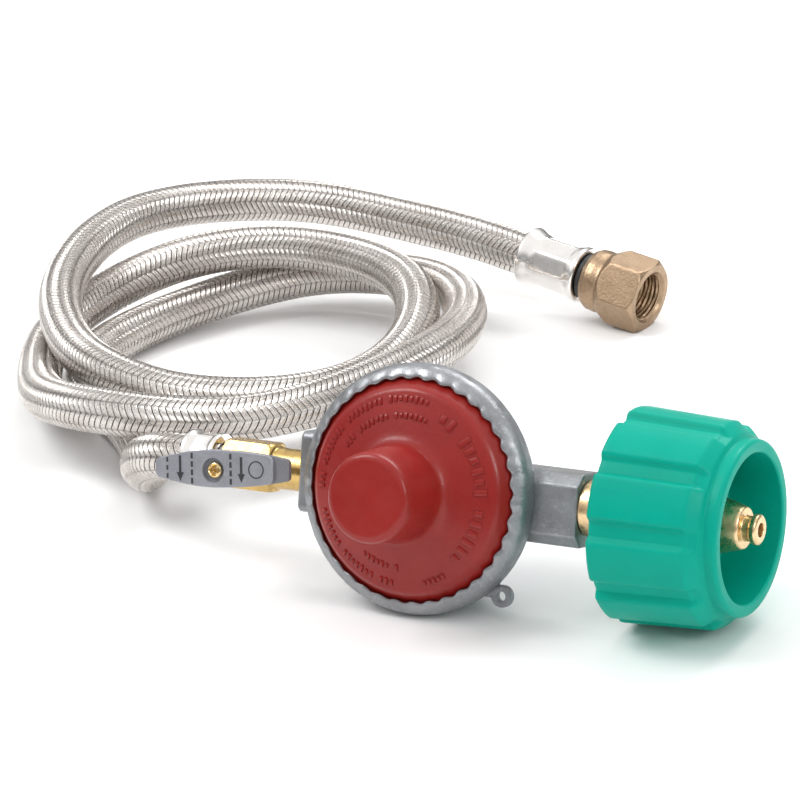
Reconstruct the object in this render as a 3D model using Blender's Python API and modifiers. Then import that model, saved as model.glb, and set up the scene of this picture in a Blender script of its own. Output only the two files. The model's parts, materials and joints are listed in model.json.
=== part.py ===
"""Propane regulator on a braided hose: one solid per piece, in metres, +Z up.

The regulator stands on the rim of its flange and on the handwheel, leaning back by LEAN. Its own frame
has x along the inlet, n out of the bonnet and v up the bonnet's face, all from the middle of the
bonnet's rim. The far fitting has its own frame too: x along the fitting, from the mouth of its ferrule.
Every length below is in millimetres; MM turns it into metres where an object is made.
"""
import bpy
import bmesh
from math import cos, pi, radians, sin
from mathutils import Matrix, Vector
import numpy as np

MM = 0.001
GAP = 0.3                     # clearance between pieces that touch

# --- the regulator and how it stands ---------------------------------------------------------------
LEAN = radians(17.7)          # the bonnet's axis tips up by this much
FLANGE_R = 36.8               # grey flange, the widest ring of the regulator
FLANGE_N = -5.5               # where along n the flange is widest
ORIGIN_X, ORIGIN_Y = -11.1, -6.25   # bonnet rim centre, seen from the middle of the whole regulator
AXIS_N, AXIS_V = -13.0, -0.6  # inlet and outlet axis
SMOOTH = 46                   # steps of the large turned pieces
FINE = 24                     # steps of the small ones
TOOL_SPIN = 0.05              # turn of the round tools, so that their corners miss the pieces' corners

# --- bonnet, diaphragm and spring --------------------------------------------------------------------
CLAMP_R = 34.9                # bonnet rim and diaphragm, under the crimped lip
BONNET_TOP = 28.8
PLATE_R = 20.0
POST_R = 2.7
SPRING_R, SPRING_WIRE, SPRING_TURNS = 8.4, 0.9, 6
SPRING_LOW, SPRING_HIGH = -0.4, 25.2

# --- valve mechanism inside the bowl -------------------------------------------------------------------
PIN_X, PIN_N, PIN_R = 14.5, -18.6, 1.2

# --- inlet ---------------------------------------------------------------------------------------------
BOSS_END = 50.4               # face of the inlet boss
NIPPLE_R = 8.2
PROBE_TIP = 104.3
WHEEL_BACK, WHEEL_RIB_END, WHEEL_FRONT = 64.0, 94.0, 101.6
RIB_R, GROOVE_R, RIM_R, MOUTH_R, THREAD_R = 31.2, 29.3, 25.6, 21.6, 17.4
RIBS = 10
RIB_PHASE = radians(-3.0)     # middle of the groove that faces forward, from n towards v
BUSH_BACK = 63.6

# --- shut-off valve --------------------------------------------------------------------------------------
OUTLET_FACE = -41.0
HEX_AF = 14.4
PIVOT_X = -62.0               # ball and lever turn about this line
BALL_R = 4.6
LEVER_N = 7.6                 # middle of the lever's thickness
LEVER_THICK = 2.8
LEVER_REST = radians(5.0)     # the lever stands 5 degrees off the pipe
FERRULE_START = -71.2

# --- hose and far fitting ----------------------------------------------------------------------------------
HOSE_R = 7.5
HOSE_POINTS = 76              # points of the tube's centreline
SQUARE_END = 2.0              # straight stretch at each end of the tube
FAR_MOUTH = Vector((-75.0, 225.0, 19.3))  # middle of the far ferrule's mouth
FAR_AXIS = Vector((0.978, -0.124, -0.168)).normalized()
NUT_AF = 22.4
NUT_LENGTH = 23.0
# The hose's centreline from the valve to the far ferrule. It and FAR_MOUTH are seen from the floor under
# the bonnet rim's centre.
ROUTE = [
    (-82.5, 12.2, 32.2), (-94, 14.2, 30.4), (-105, 21.5, 24.5), (-113.5, 33.5, 16), (-121, 47, 10),
    (-132, 62, 8), (-150, 80, 8), (-171, 98, 8),
    (-189, 123, 8), (-188, 157, 8), (-172, 186, 10), (-147, 202, 14), (-119, 205, 16), (-92, 195, 18),
    (-74, 175, 19), (-65, 147, 20), (-66, 116, 22), (-74, 87, 23), (-93, 61, 24), (-122, 49, 26),
    (-151, 54, 24), (-174, 72, 18), (-192, 97, 14), (-204, 125, 15), (-203, 154, 18), (-185, 179, 24),
    (-157, 192, 27), (-126, 193, 26), (-100, 182, 24), (-84, 160, 20), (-80, 131, 16), (-89, 104, 16),
    (-110, 86, 18), (-134, 79, 21), (-158, 84, 24), (-179, 99, 25), (-197, 121, 29), (-208, 152, 33),
    (-207, 185, 35), (-188, 213, 33), (-158, 228, 30), (-125, 230, 26), (-93, 227.2, 22.4),
    (-75.0, 225.0, 19.3)]


def material(name, colour, roughness, metallic=0.0):
    """A Principled material with one colour."""
    made = bpy.data.materials.new(name)
    made.use_nodes = True
    shader = made.node_tree.nodes["Principled BSDF"]
    shader.inputs["Base Color"].default_value = (*colour, 1.0)
    shader.inputs["Roughness"].default_value = roughness
    shader.inputs["Metallic"].default_value = metallic
    return made


def clear():
    for item in list(bpy.data.objects):
        bpy.data.objects.remove(item, do_unlink=True)


clear()
PARTS = bpy.data.collections.new("propane_regulator_hose")
CUTTERS = bpy.data.collections.new("cutters")
bpy.context.scene.collection.children.link(PARTS)
bpy.context.scene.collection.children.link(CUTTERS)

ZINC = ("zinc", (0.42, 0.43, 0.44), 0.45, 0.9)
RED = ("red_paint", (0.55, 0.05, 0.04), 0.4, 0.0)
RUBBER = ("black_rubber", (0.02, 0.02, 0.02), 0.7, 0.0)
STEEL = ("steel", (0.6, 0.6, 0.6), 0.3, 1.0)
BRASS = ("brass", (0.62, 0.42, 0.16), 0.3, 1.0)
GREEN = ("green_plastic", (0.0, 0.30, 0.20), 0.4, 0.0)
NYLON = ("black_nylon", (0.03, 0.03, 0.03), 0.5, 0.0)
BRAID = ("steel_braid", (0.55, 0.54, 0.52), 0.4, 0.8)


def empty(name, location, rotation=None, parent=None):
    """A frame to hang pieces on; location in metres."""
    made = bpy.data.objects.new(name, None)
    made.location = location
    if rotation is not None:
        made.rotation_mode = "QUATERNION"
        made.rotation_quaternion = rotation
    made.parent = parent
    PARTS.objects.link(made)
    return made


STAND_Z = FLANGE_R * cos(LEAN) - FLANGE_N * sin(LEAN)
REGULATOR = empty("regulator", Vector((ORIGIN_X, ORIGIN_Y, STAND_Z)) * MM,
                  Matrix.Rotation(-LEAN, 3, "X").to_quaternion())
FLOOR_SHIFT = Vector((ORIGIN_X, ORIGIN_Y, 0.0))
FAR_END = empty("far_end", (FAR_MOUTH + FLOOR_SHIFT) * MM, FAR_AXIS.to_track_quat("X", "Z"))

# Turned profiles are drawn round +Z; these turn +Z to the frame's n, x or v.
ALONG_N = Matrix.Rotation(pi / 2, 3, "X")
ALONG_X = Matrix.Rotation(pi / 2, 3, "Y")
ALONG_V = Matrix.Identity(3)


def at(x, n, v):
    """A point of the regulator's frame, in metres."""
    return Vector((x, -n, v)) * MM


ON_AXIS = at(0.0, AXIS_N, AXIS_V)
ORIGIN = Vector((0.0, 0.0, 0.0))


def finish_piece(made, paint, parent, location, turn, is_cutter):
    """Put a new mesh object in its place, its collection and its colour."""
    made.parent = parent
    made.location = location
    made.rotation_mode = "QUATERNION"
    made.rotation_quaternion = turn.to_quaternion()
    if is_cutter:
        CUTTERS.objects.link(made)
        made.hide_render = True
        made.display_type = "WIRE"
        return made
    PARTS.objects.link(made)
    made.data.materials.append(material(made.name + "_" + paint[0], *paint[1:]))
    return made


def turned(name, profile, paint=None, parent=REGULATOR, location=ORIGIN, turn=ALONG_N, steps=SMOOTH,
           closed=False, is_cutter=False):
    """A profile of (radius, height) points, outer side from the top down, turned all the way round."""
    mesh = bpy.data.meshes.new(name)
    shape = bmesh.new()
    points = [shape.verts.new((radius * MM, 0.0, height * MM)) for radius, height in profile]
    for first, second in zip(points, points[1:]):
        shape.edges.new((first, second))
    if closed:
        shape.edges.new((points[-1], points[0]))
    shape.to_mesh(mesh)
    shape.free()
    made = bpy.data.objects.new(name, mesh)
    screw = made.modifiers.new("turn", "SCREW")
    screw.axis = "Z"
    screw.angle = 2 * pi
    screw.steps = steps
    screw.render_steps = steps
    screw.use_merge_vertices = True
    screw.merge_threshold = 0.00001
    screw.use_smooth_shade = True
    return finish_piece(made, paint, parent, location, turn, is_cutter)


def block(name, low, high, bevel=0.0, parent=REGULATOR, is_cutter=True, paint=None):
    """A box between two corners given as (x, n, v), with cut corners."""
    first, second = at(*low), at(*high)
    middle = (first + second) / 2
    size = Vector([abs(value) for value in second - first])
    mesh = bpy.data.meshes.new(name)
    shape = bmesh.new()
    bmesh.ops.create_cube(shape, size=1.0, matrix=Matrix.Diagonal((*size, 1.0)))
    shape.to_mesh(mesh)
    shape.free()
    made = bpy.data.objects.new(name, mesh)
    if bevel:
        cut_corners = made.modifiers.new("corners", "BEVEL")
        cut_corners.width = bevel * MM
        cut_corners.segments = 1
        cut_corners.limit_method = "ANGLE"
    return finish_piece(made, paint, parent, middle, ALONG_V, is_cutter)


def prism(name, across_flats, start, end, sides=6, spin=0.0, parent=REGULATOR, location=ON_AXIS,
          is_cutter=True, paint=None):
    """A regular prism along x from start to end."""
    mesh = bpy.data.meshes.new(name)
    shape = bmesh.new()
    radius = across_flats / 2 / cos(pi / sides) * MM
    place = Matrix.Translation((0, 0, (start + end) / 2 * MM)) @ Matrix.Rotation(spin, 4, "Z")
    bmesh.ops.create_cone(shape, cap_ends=True, segments=sides, radius1=radius, radius2=radius,
                          depth=abs(end - start) * MM, matrix=place)
    shape.to_mesh(mesh)
    shape.free()
    made = bpy.data.objects.new(name, mesh)
    return finish_piece(made, paint, parent, location, ALONG_X, is_cutter)


def rod(name, radius, start, end, location=ON_AXIS, turn=ALONG_X, parent=REGULATOR, steps=20):
    """A plain round tool along the turn's axis, for cutting or joining."""
    high, low = max(start, end), min(start, end)
    return turned(name, [(0, high), (radius, high), (radius, low), (0, low)], None, parent, location,
                  turn @ Matrix.Rotation(TOOL_SPIN, 3, "Z"), steps, is_cutter=True)


def outline(name, points, thickness, location, turn, paint=None, is_cutter=False):
    """A flat closed outline in its own x-y plane, given thickness both ways from the plane."""
    curve = bpy.data.curves.new(name + "_outline", "CURVE")
    curve.dimensions = "2D"
    curve.fill_mode = "BOTH"
    curve.extrude = thickness / 2 * MM
    line = curve.splines.new("POLY")
    line.points.add(len(points) - 1)
    for spot, (across, up) in zip(line.points, points):
        spot.co = (across * MM, up * MM, 0.0, 1.0)
    line.use_cyclic_u = True
    return solid_from_curve(name, curve, paint, REGULATOR, location, turn, is_cutter)


def solid_from_curve(name, curve, paint, parent, location, turn, is_cutter=False):
    """Turn a curve's shape into a closed mesh object."""
    draft = bpy.data.objects.new(name + "_draft", curve)
    bpy.context.scene.collection.objects.link(draft)
    bpy.context.view_layer.update()
    seen = draft.evaluated_get(bpy.context.evaluated_depsgraph_get())
    mesh = bpy.data.meshes.new_from_object(seen)
    bpy.data.objects.remove(draft, do_unlink=True)
    shape = bmesh.new()
    shape.from_mesh(mesh)
    bmesh.ops.remove_doubles(shape, verts=shape.verts, dist=0.000005)
    bmesh.ops.recalc_face_normals(shape, faces=shape.faces)
    shape.to_mesh(mesh)
    shape.free()
    mesh.materials.clear()
    made = bpy.data.objects.new(name, mesh)
    return finish_piece(made, paint, parent, location, turn, is_cutter)


def boolean(body, tool, operation):
    step = body.modifiers.new(tool.name, "BOOLEAN")
    step.operation = operation
    step.object = tool
    step.solver = "EXACT"


def join(body, *tools):
    for tool in tools:
        boolean(body, tool, "UNION")


def cut(body, *tools):
    for tool in tools:
        boolean(body, tool, "DIFFERENCE")


def ring(outer, inner, high, low):
    """The closed profile of a plain ring."""
    return [(outer, high), (outer, low), (inner, low), (inner, high)]


# --- regulator ---------------------------------------------------------------------------------------------
def make_body_casting():
    """Flange with its crimped lip, the bowl behind it, both bosses, the lug and the bores."""
    bowl = [(0, -21.5), (23.6, -21.5), (25.4, -18), (28.5, -9.0), (28.5, -4.6), (35.2, -4.6), (35.2, -0.1),
            (33.7, -0.1), (33.7, 0.9), (35.3, 0.6), (36.3, -1.0), (FLANGE_R, -3.4), (FLANGE_R, FLANGE_N),
            (35.9, -7.6), (33.8, -9.6), (31.8, -14), (27.8, -22), (25.4, -26), (24.0, -27), (0, -27)]
    body = turned("body_casting", bowl, ZINC)
    inlet = block("inlet_boss", (26.0, -5.2, -12.1), (BOSS_END, -22.6, 9.3), bevel=3.4)
    outlet = block("outlet_boss", (-26.0, -5.2, -11.8), (OUTLET_FACE, -22.0, 12.4), bevel=1.2)
    lug_place = at(27.9, -6.4, -28.4)
    lug = rod("lug", 3.3, -1.2, 1.2, lug_place, ALONG_N)
    lug_root = block("lug_root", (20.5, -5.4, -29.2), (26.9, -7.4, -22.5))
    ear_low = block("ear_low", (12.0, -16.4, AXIS_V - 8.4), (17.0, -22.0, AXIS_V - 5.0))
    ear_high = block("ear_high", (12.0, -16.4, AXIS_V + 5.0), (17.0, -22.0, AXIS_V + 8.4))
    join(body, inlet, outlet, lug, lug_root, ear_low, ear_high)
    cut(body,
        rod("inlet_bore", 6.3, 35.2, BOSS_END + 2),
        rod("orifice_bore", 4.8, 24.0, 36.0),
        rod("outlet_bore", 5.3, -24.0, OUTLET_FACE - 2),
        rod("lug_hole", 1.4, -3, 3, lug_place, ALONG_N),
        rod("pin_hole", PIN_R + GAP, -7.0, 7.0, at(PIN_X, PIN_N, AXIS_V), ALONG_V))


def make_bonnet():
    """Pressed bonnet: rim under the lip, cone, and the spring tower, open underneath."""
    shell = [(0, BONNET_TOP), (11.4, BONNET_TOP), (12.7, 28.2), (13.3, 26.6), (13.9, 12.0), (14.5, 9.6),
             (16.2, 8.0), (29.4, 4.8), (30.3, 3.8), (31.8, 1.4), (33.2, -0.4), (CLAMP_R, -0.6),
             (CLAMP_R, -3.0), (31.6, -3.0), (31.0, 0.6), (29.0, 2.2), (15.2, 6.3), (12.7, 8.8),
             (12.0, 12.0), (11.5, 26.4), (0, 26.8)]
    turned("bonnet", shell, RED)


def make_diaphragm():
    """Rubber disc with one convolution and a hole for the post."""
    section = [(CLAMP_R, -3.3), (CLAMP_R, -4.3), (27.6, -4.3), (25.6, -5.4), (23.4, -4.3),
               (POST_R + GAP, -4.3), (POST_R + GAP, -3.3), (22.8, -3.3), (25.6, -4.4), (28.2, -3.3)]
    turned("diaphragm", section, RUBBER, closed=True)


def make_diaphragm_plate():
    """Dished plate on top of the diaphragm and the post through it, with a washer below."""
    section = [(0, -1.6), (PLATE_R - 1, -1.6), (PLATE_R, -1.9), (PLATE_R, -3.0), (POST_R, -3.0),
               (POST_R, -4.6), (6.0, -4.6), (6.0, -5.6), (POST_R, -5.9), (POST_R, -11.0), (0, -11.0)]
    turned("diaphragm_plate", section, STEEL, steps=FINE + 8)


def make_main_spring():
    """Coil spring between the plate and the top of the tower."""
    steps = 10 * SPRING_TURNS
    curve = bpy.data.curves.new("main_spring_line", "CURVE")
    curve.dimensions = "3D"
    curve.bevel_depth = SPRING_WIRE * MM
    curve.bevel_resolution = 2
    curve.use_fill_caps = True
    line = curve.splines.new("POLY")
    line.points.add(steps)
    for index, spot in enumerate(line.points):
        share = index / steps
        angle = 2 * pi * SPRING_TURNS * share
        height = SPRING_LOW + (SPRING_HIGH - SPRING_LOW) * share
        spot.co = (SPRING_R * cos(angle) * MM, SPRING_R * sin(angle) * MM, height * MM, 1.0)
    solid_from_curve("main_spring", curve, STEEL, REGULATOR, ORIGIN, ALONG_N)


def make_lever_train():
    """Bell crank, its pin, the valve disc with its holder, and the orifice it closes on."""
    crank = [(-19.0, 7.3), (-10.5, 7.3), (-2.5, 3.4), (2.4, 6.6), (2.4, 3.0), (2.4, -2.4), (-2.4, -2.4),
             (-11.5, 5.2), (-19.0, 5.2)]
    lever = outline("internal_lever", crank, 4.0, at(PIN_X, PIN_N, AXIS_V),
                    Matrix.Rotation(pi, 3, "X"), STEEL)
    cut(lever, rod("crank_hole", PIN_R + GAP, -4, 4, at(PIN_X, PIN_N, AXIS_V), ALONG_V))
    turned("lever_pin", [(0, 6.6), (PIN_R, 6.6), (PIN_R, -6.6), (0, -6.6)], STEEL, turn=ALONG_V,
           location=at(PIN_X, PIN_N, AXIS_V), steps=16)
    turned("seat_holder", [(0, 22.2), (3.6, 22.2), (3.6, 17.3), (0, 17.3)], BRASS, turn=ALONG_X,
           location=ON_AXIS, steps=FINE)
    turned("seat_disc", [(0, 24.3), (3.2, 24.3), (3.2, 22.5), (0, 22.5)], RUBBER, turn=ALONG_X,
           location=ON_AXIS, steps=FINE)
    turned("orifice", [(4.5, 35.0), (4.5, 26.4), (2.2, 24.6), (1.1, 24.6), (1.1, 35.0)], BRASS,
           turn=ALONG_X, location=ON_AXIS, steps=FINE, closed=True)


# --- inlet -----------------------------------------------------------------------------------------------------
def make_inlet_nipple():
    """Threaded end, shank, groove for the ring, bullet nose, neck and bored tip."""
    outer = [(2.0, PROBE_TIP), (3.8, PROBE_TIP), (4.4, 103.7), (4.4, 102.2), (3.7, 101.8), (3.7, 99.6),
             (6.9, 99.6), (7.5, 98.9), (8.2, 96.5), (8.8, 93.5), (9.2, 89.0), (9.2, 83.0),
             (NIPPLE_R, 81.6), (NIPPLE_R, 72.7), (7.6, 72.7), (7.6, 70.9), (NIPPLE_R, 70.9),
             (NIPPLE_R, BOSS_END + GAP), (6.0, BOSS_END + GAP), (6.0, 35.5)]
    inner = [(3.0, 35.5), (3.0, 66.0), (4.6, 66.0), (4.6, 95.0), (2.0, 97.0)]
    turned("inlet_nipple", outer + inner, BRASS, turn=ALONG_X, location=ON_AXIS, steps=FINE + 4,
           closed=True)


def make_excess_flow():
    """Sliding plunger in the nipple and the spring behind it."""
    turned("excess_flow_plunger", [(0, 94.0), (2.4, 94.0), (4.2, 91.5), (4.2, 85.0), (2.0, 85.0), (2.0, 78.0),
                                   (0, 78.0)], BRASS, turn=ALONG_X, location=ON_AXIS, steps=20)
    turns, points_per_turn = 5, 8
    steps = turns * points_per_turn
    curve = bpy.data.curves.new("plunger_spring_line", "CURVE")
    curve.dimensions = "3D"
    curve.bevel_depth = 0.5 * MM
    curve.bevel_resolution = 2
    curve.use_fill_caps = True
    line = curve.splines.new("POLY")
    line.points.add(steps)
    for index, spot in enumerate(line.points):
        share = index / steps
        angle = 2 * pi * turns * share
        spot.co = (3.4 * cos(angle) * MM, 3.4 * sin(angle) * MM, (67.0 + 17.0 * share) * MM, 1.0)
    solid_from_curve("plunger_spring", curve, STEEL, REGULATOR, ON_AXIS, ALONG_X)


def wheel_outline():
    """Closed outline of the ribbed grip: ten broad ribs with narrow, shallow grooves between."""
    points = []
    pitch = 2 * pi / RIBS
    corners = [(-0.12, GROOVE_R), (0.0, GROOVE_R), (0.12, GROOVE_R), (0.21, RIB_R), (0.35, RIB_R), (0.5, RIB_R),
               (0.65, RIB_R), (0.79, RIB_R)]
    for rib in range(RIBS):
        for share, radius in corners:
            angle = pi / 2 - RIB_PHASE - (rib + share) * pitch
            points.append((radius * cos(angle), radius * sin(angle)))
    return points


def make_handwheel():
    """Ribbed grip, the plain collar and mouth in front of it, and the stepped bore."""
    points = wheel_outline()
    mesh = bpy.data.meshes.new("handwheel_nut")
    shape = bmesh.new()
    stations = [(WHEEL_BACK, 0.975), (WHEEL_BACK + 1.2, 1.0), (WHEEL_RIB_END, 0.955), (WHEEL_RIB_END + 3.0, 0.85)]
    rings = [[shape.verts.new((across * scale * MM, up * scale * MM, x * MM)) for across, up in points]
             for x, scale in stations]
    for lower, upper in zip(rings, rings[1:]):
        count = len(lower)
        for index in range(count):
            following = (index + 1) % count
            shape.faces.new((lower[index], lower[following], upper[following], upper[index]))
    shape.faces.new(list(reversed(rings[0])))
    shape.faces.new(rings[-1])
    bmesh.ops.recalc_face_normals(shape, faces=shape.faces)
    shape.to_mesh(mesh)
    shape.free()
    wheel = finish_piece(bpy.data.objects.new("handwheel_nut", mesh), GREEN, REGULATOR, ON_AXIS,
                         Matrix.Rotation(pi / 2, 3, "Y") @ Matrix.Rotation(pi, 3, "Z"), False)
    collar = turned("wheel_collar", [(0, WHEEL_FRONT), (RIM_R - 1, WHEEL_FRONT), (RIM_R, WHEEL_FRONT - 1),
                                     (RIM_R - 0.5, 98.5), (RIM_R - 0.5, 90.0), (0, 90.0)],
                    turn=ALONG_X, location=ON_AXIS, steps=SMOOTH, is_cutter=True)
    bore = turned("wheel_bore", [(0, WHEEL_FRONT + 2), (MOUTH_R, WHEEL_FRONT + 2), (MOUTH_R, 84.5),
                                 (THREAD_R, 83.0), (THREAD_R, 68.4), (12.1, 68.4), (12.1, 60.0), (0, 60.0)],
                  turn=ALONG_X, location=ON_AXIS, steps=SMOOTH, is_cutter=True)
    join(wheel, collar)
    cut(wheel, bore)


def make_bush_and_ring():
    """Flanged bush that carries the handwheel, and the ring that keeps it on the nipple."""
    turned("thermal_bush", [(14.8, 70.4), (14.8, 68.7), (11.8, 68.7), (11.8, BUSH_BACK), (8.5, BUSH_BACK),
                            (8.5, 70.4)], NYLON, turn=ALONG_X, location=ON_AXIS, steps=FINE, closed=True)
    turned("retaining_ring", ring(10.4, 7.9, 72.4, 71.0), STEEL, turn=ALONG_X, location=ON_AXIS,
           steps=FINE, closed=True)


# --- shut-off valve ----------------------------------------------------------------------------------------------
def make_valve_body():
    """Threaded spigot, neck, hexagon and the stem's boss, bored for the ball and the stem."""
    body = turned("valve_body", [(0, -36.0), (5.0, -36.0), (5.0, OUTLET_FACE - GAP), (6.2, OUTLET_FACE - GAP),
                                 (6.2, -54.0), (0, -54.0)], BRASS,
                  turn=ALONG_X, location=ON_AXIS, steps=FINE)
    stem_boss = rod("stem_boss", 4.6, 3.0, 15.0, at(PIVOT_X, AXIS_N, AXIS_V), ALONG_N)
    join(body, prism("valve_hex", HEX_AF, -69.0, -52.2), stem_boss)
    cut(body,
        rod("valve_bore", 3.0, -30.0, -60.0),
        rod("ball_room", 5.1, -56.5, -72.0),
        rod("stem_hole", 2.5, 1.2, 20.0, at(PIVOT_X, AXIS_N, AXIS_V), ALONG_N, steps=20))


def make_ball_and_seats():
    """Bored ball between two seat rings."""
    mesh = bpy.data.meshes.new("valve_ball")
    shape = bmesh.new()
    bmesh.ops.create_uvsphere(shape, u_segments=20, v_segments=12, radius=BALL_R * MM)
    shape.to_mesh(mesh)
    shape.free()
    ball = finish_piece(bpy.data.objects.new("valve_ball", mesh), STEEL, REGULATOR,
                        at(PIVOT_X, AXIS_N, AXIS_V), ALONG_N, False)
    cut(ball, rod("ball_bore", 2.6, PIVOT_X - 8, PIVOT_X + 8, steps=16))
    for name, middle in (("seat_ring_inner", PIVOT_X + 4.5), ("seat_ring_outer", PIVOT_X - 4.5)):
        turned(name, ring(4.8, 2.9, middle + 0.6, middle - 0.6), NYLON, turn=ALONG_X, location=ON_AXIS,
               steps=20, closed=True)


def make_stem_and_screw():
    """Stem from the ball to the lever, and the screw that holds the lever on it."""
    pivot = at(PIVOT_X, 0.0, AXIS_V)
    low_face = LEVER_N - LEVER_THICK / 2
    turned("valve_stem", [(0, 1.0), (1.3, 1.0), (1.3, low_face - GAP), (2.2, low_face - GAP), (2.2, -8.0),
                          (0, -8.0)], STEEL, location=pivot, steps=16)
    turned("lever_screw", [(0, 8.8), (2.0, 8.8), (2.5, 8.3), (2.5, 7.6), (1.0, 7.6), (1.0, 1.4), (0, 1.4)],
           BRASS, location=pivot, steps=20)


def make_lever_handle():
    """Flat lever with rounded ends, a recess round the screw and its hole."""
    half = [(25.1, 2.5), (24.4, 3.3), (19.8, 4.1), (15.0, 4.75), (9.2, 5.3), (0.0, 5.65), (-5.0, 5.4),
            (-9.6, 4.8), (-15.3, 3.7), (-18.8, 2.9), (-19.8, 1.9)]
    points = half + [(along, -across) for along, across in reversed(half)]
    turn = Matrix.Rotation(pi / 2, 3, "X") @ Matrix.Rotation(LEVER_REST, 3, "Z")
    pivot = at(PIVOT_X, LEVER_N, AXIS_V + 0.5)
    handle = outline("lever_handle", points, LEVER_THICK, pivot, turn, ZINC)
    cut(handle,
        rod("screw_recess", 3.7, 7.3, 12.0, at(PIVOT_X, 0.0, AXIS_V), ALONG_N),
        rod("screw_clearance", 1.4, 4.0, 12.0, at(PIVOT_X, 0.0, AXIS_V), ALONG_N, steps=16))


# --- hose -----------------------------------------------------------------------------------------------------------
def make_hose_end_at_valve():
    """Stem screwed into the valve, with its shoulder and barb, and the crimped ferrule over it."""
    turned("valve_end_stem", [(2.8, -67.4), (4.8, -67.4), (4.8, -69.3), (5.0, -69.3), (5.0, -73.4),
                              (6.4, -73.4), (6.4, -82.1), (2.8, -82.1)], STEEL, turn=ALONG_X,
           location=ON_AXIS, steps=FINE, closed=True)
    turned("valve_end_ferrule", [(8.4, FERRULE_START), (8.4, -72.4), (7.9, -73.4), (7.9, -79.0), (8.7, -80.6),
                                 (8.7, -82.1), (6.7, -82.1), (6.7, -73.1), (5.3, -73.1),
                                 (5.3, FERRULE_START)], STEEL, turn=ALONG_X, location=ON_AXIS,
           steps=FINE, closed=True)


def route_points(count):
    """Points at even steps along the smooth curve through ROUTE, which leaves along -x and ends along the
    far fitting. It is a cubic spline on chord length; the unknowns are its second derivatives. One more
    point close to each end squares the tube's end faces."""
    knots = np.array(ROUTE, float)
    spans = np.linalg.norm(np.diff(knots, axis=0), axis=1)
    slopes = np.diff(knots, axis=0) / spans[:, None]
    slopes = np.vstack(([-1.0, 0.0, 0.0], slopes, list(FAR_AXIS)))
    system = np.zeros((len(knots), len(knots)))
    for index, span in enumerate(spans):
        system[index, index:index + 2] += 2 * span, span
        system[index + 1, index:index + 2] += span, 2 * span
    bend = np.linalg.solve(system, 6 * np.diff(slopes, axis=0))
    where = np.concatenate(([0.0], np.cumsum(spans)))
    result = []
    for place in np.linspace(0.0, where[-1], count):
        index = min(int(np.searchsorted(where, place, side="right")) - 1, len(spans) - 1)
        span = spans[index]
        ahead, behind = where[index + 1] - place, place - where[index]
        result.append((bend[index] * ahead ** 3 + bend[index + 1] * behind ** 3) / (6 * span)
                      + (knots[index] / span - bend[index] * span / 6) * ahead
                      + (knots[index + 1] / span - bend[index + 1] * span / 6) * behind)
    result[1:1] = [knots[0] + np.array((-SQUARE_END, 0.0, 0.0))]
    result[-1:-1] = [knots[-1] - SQUARE_END * np.array(FAR_AXIS)]
    return [Vector(point) + FLOOR_SHIFT for point in result]


def make_hose_tube():
    curve = bpy.data.curves.new("hose_tube", "CURVE")
    curve.dimensions = "3D"
    curve.bevel_depth = HOSE_R * MM
    curve.bevel_resolution = 3
    curve.use_fill_caps = True
    points = route_points(HOSE_POINTS)
    line = curve.splines.new("POLY")
    line.points.add(len(points) - 1)
    for spot, point in zip(line.points, points):
        spot.co = (*(point * MM), 1.0)
    tube = bpy.data.objects.new("hose_tube", curve)
    curve.materials.append(material("hose_tube_braid", *BRAID[1:]))
    PARTS.objects.link(tube)


def make_far_end():
    """Ferrule, stem, black ring and the swivel flare nut, along the far fitting's own x."""
    along = {"turn": ALONG_X, "parent": FAR_END, "location": ORIGIN}
    turned("far_end_ferrule", [(9.0, 23.0), (9.6, 22.4), (9.6, 21.2), (8.7, 19.4), (8.7, 6.0), (10.1, 2.6),
                               (10.5, 1.2), (10.1, 0.4), (6.7, 0.4), (6.7, 20.8), (5.2, 20.8), (5.2, 23.0)],
           STEEL, steps=FINE, closed=True, **along)
    turned("far_end_stem", [(3.0, 41.0), (7.0, 36.4), (7.0, 31.6), (4.9, 31.6), (4.9, 20.5), (6.4, 20.5),
                            (6.4, 0.4), (3.0, 0.4)], BRASS, steps=FINE, closed=True, **along)
    turned("spacer_ring", ring(7.9, 5.2, 25.1, 23.3), NYLON, steps=FINE, closed=True, **along)
    front = 25.6 + NUT_LENGTH
    corner = NUT_AF / 2 / cos(pi / 6)
    nut = turned("flare_nut", [(0, front), (NUT_AF / 2 - 0.3, front), (corner, front - 1.6), (corner, 34.4),
                               (NUT_AF / 2 - 0.5, 32.8), (10.6, 30.0), (10.4, 27.6), (8.6, 25.6), (0, 25.6)],
                 BRASS, steps=FINE, **along)
    flats = prism("flare_hex", NUT_AF, 32.0, front + 2, parent=FAR_END, location=ORIGIN)
    keep = rod("flare_keep", 10.7, 24.0, 32.6, ORIGIN, ALONG_X, FAR_END)
    join(flats, keep)
    boolean(nut, flats, "INTERSECT")
    cut(nut, turned("flare_bore", [(0, front + 2), (10.8, front + 2), (7.9, front - 1.1), (7.9, 31.2),
                                   (5.3, 31.2), (5.3, 24.0), (0, 24.0)], steps=FINE, is_cutter=True,
                    **along))


make_body_casting()
make_bonnet()
make_diaphragm()
make_diaphragm_plate()
make_main_spring()
make_lever_train()
make_inlet_nipple()
make_excess_flow()
make_handwheel()
make_bush_and_ring()
make_valve_body()
make_ball_and_seats()
make_stem_and_screw()
make_lever_handle()
make_hose_end_at_valve()
make_hose_tube()
make_far_end()
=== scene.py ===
"""Propane regulator on a braided hose: the looks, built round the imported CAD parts. Metres, +Z up.

Lengths below are in millimetres unless a name says otherwise; MM turns them into metres. The regulator's
own frame has x along the inlet, n out of the bonnet and v up the bonnet's face, from the middle of the
bonnet's rim. The far fitting's frame has x along the fitting, from the mouth of its ferrule.
"""
import json
from math import cos, pi, radians, sin

import bmesh
import bpy
import numpy as np
from mathutils import Matrix, Vector


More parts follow.
